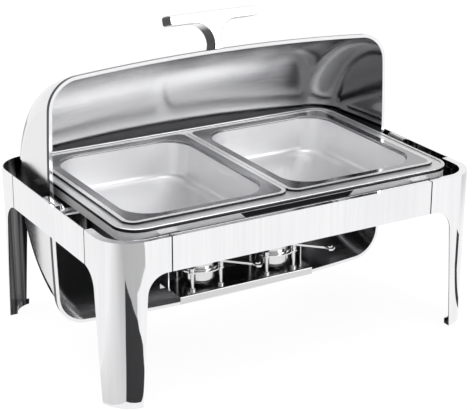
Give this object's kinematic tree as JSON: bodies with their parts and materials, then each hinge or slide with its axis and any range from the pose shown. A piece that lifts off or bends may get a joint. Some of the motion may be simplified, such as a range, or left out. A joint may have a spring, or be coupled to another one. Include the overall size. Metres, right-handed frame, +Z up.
{
  "type": "roll-top chafing dish",
  "caption": "Stainless roll-top chafing dish: legged frame, turning barrel lid, water pan, two half-size food pans and a fuel shelf with snuffered burners.",
  "frame": {"origin": "on the floor, midway between the four legs", "axes": "+X along the long front towards its right end, +Y from the front to the back, +Z up"},
  "size_m": [0.627, 0.418, 0.4777],
  "materials": {
    "polished_steel": "mirror-polished stainless steel sheet",
    "lid_steel": "polished stainless steel, brushed along its length inside",
    "pan_steel": "satin stainless steel",
    "handle_metal": "polished cast handle",
    "hardware": "turned and pressed stainless hardware",
    "burner_steel": "bright stainless steel",
    "bush_plastic": "natural nylon"
  },
  "bodies": {
    "frame": {"apron_front": "polished_steel", "apron_left": "polished_steel", "apron_rear": "polished_steel", "apron_right": "polished_steel", "burner_posts_left": "burner_steel", "burner_posts_right": "burner_steel", "burner_ring_left": "burner_steel", "burner_ring_right": "burner_steel", "fuel_pot_left": "burner_steel", "fuel_pot_right": "burner_steel", "fuel_shelf": "polished_steel", "leg_front_left": "polished_steel", "leg_front_right": "polished_steel", "leg_rear_left": "polished_steel", "leg_rear_right": "polished_steel", "lid_stop_left": "hardware", "lid_stop_right": "hardware", "pan_rail_front": "polished_steel", "pan_rail_left": "polished_steel", "pan_rail_rear": "polished_steel", "pan_rail_right": "polished_steel", "pivot_bracket_left": "hardware", "pivot_bracket_right": "hardware", "pivot_nuts": "hardware", "pivot_pin_left": "hardware", "pivot_pin_right": "hardware", "pivot_plate_left": "hardware", "pivot_plate_right": "hardware", "pivot_spacers": "hardware", "seam_straps": "polished_steel", "shelf_hanger_left": "polished_steel", "shelf_hanger_right": "polished_steel", "snuffer_screws": "hardware", "tie_plate_left": "polished_steel", "tie_plate_right": "polished_steel"},
    "lid": {"ear_rivets": "hardware", "lid_ear_left": "hardware", "lid_ear_right": "hardware", "lid_handle": "handle_metal", "lid_rim": "lid_steel", "lid_shell": "lid_steel", "pivot_bush_left": "bush_plastic", "pivot_bush_right": "bush_plastic"},
    "water_pan": {"water_pan": "polished_steel"},
    "food_pan_left": {"food_pan_left": "pan_steel"},
    "food_pan_right": {"food_pan_right": "pan_steel"},
    "snuffer_left": {"snuffer_cap_left": "burner_steel", "snuffer_lever_left": "burner_steel"},
    "snuffer_right": {"snuffer_cap_right": "burner_steel", "snuffer_lever_right": "burner_steel"}
  },
  "joints": [
    {"name": "lid_turn", "type": "hinge", "parent": "frame", "child": "lid", "pos_m": [0, 0, 0.2268], "axis": [1, 0, 0], "range_deg": [0, 90]},
    {"name": "water_pan_lift", "type": "slide", "parent": "frame", "child": "water_pan", "axis": [0, 0, 1], "range_m": [0, 0.012]},
    {"name": "food_pan_left_lift", "type": "slide", "parent": "water_pan", "child": "food_pan_left", "axis": [0, 0, 1], "range_m": [0, 0.036]},
    {"name": "food_pan_right_lift", "type": "slide", "parent": "water_pan", "child": "food_pan_right", "axis": [0, 0, 1], "range_m": [0, 0.036]},
    {"name": "snuffer_left_swivel", "type": "hinge", "parent": "frame", "child": "snuffer_left", "pos_m": [-0.0415, -0.03, 0.11], "axis": [0, 0, 1], "range_deg": [0, 90]},
    {"name": "snuffer_right_swivel", "type": "hinge", "parent": "frame", "child": "snuffer_right", "pos_m": [0.0915, -0.03, 0.11], "axis": [0, 0, 1], "range_deg": [0, 90]}
  ]
}
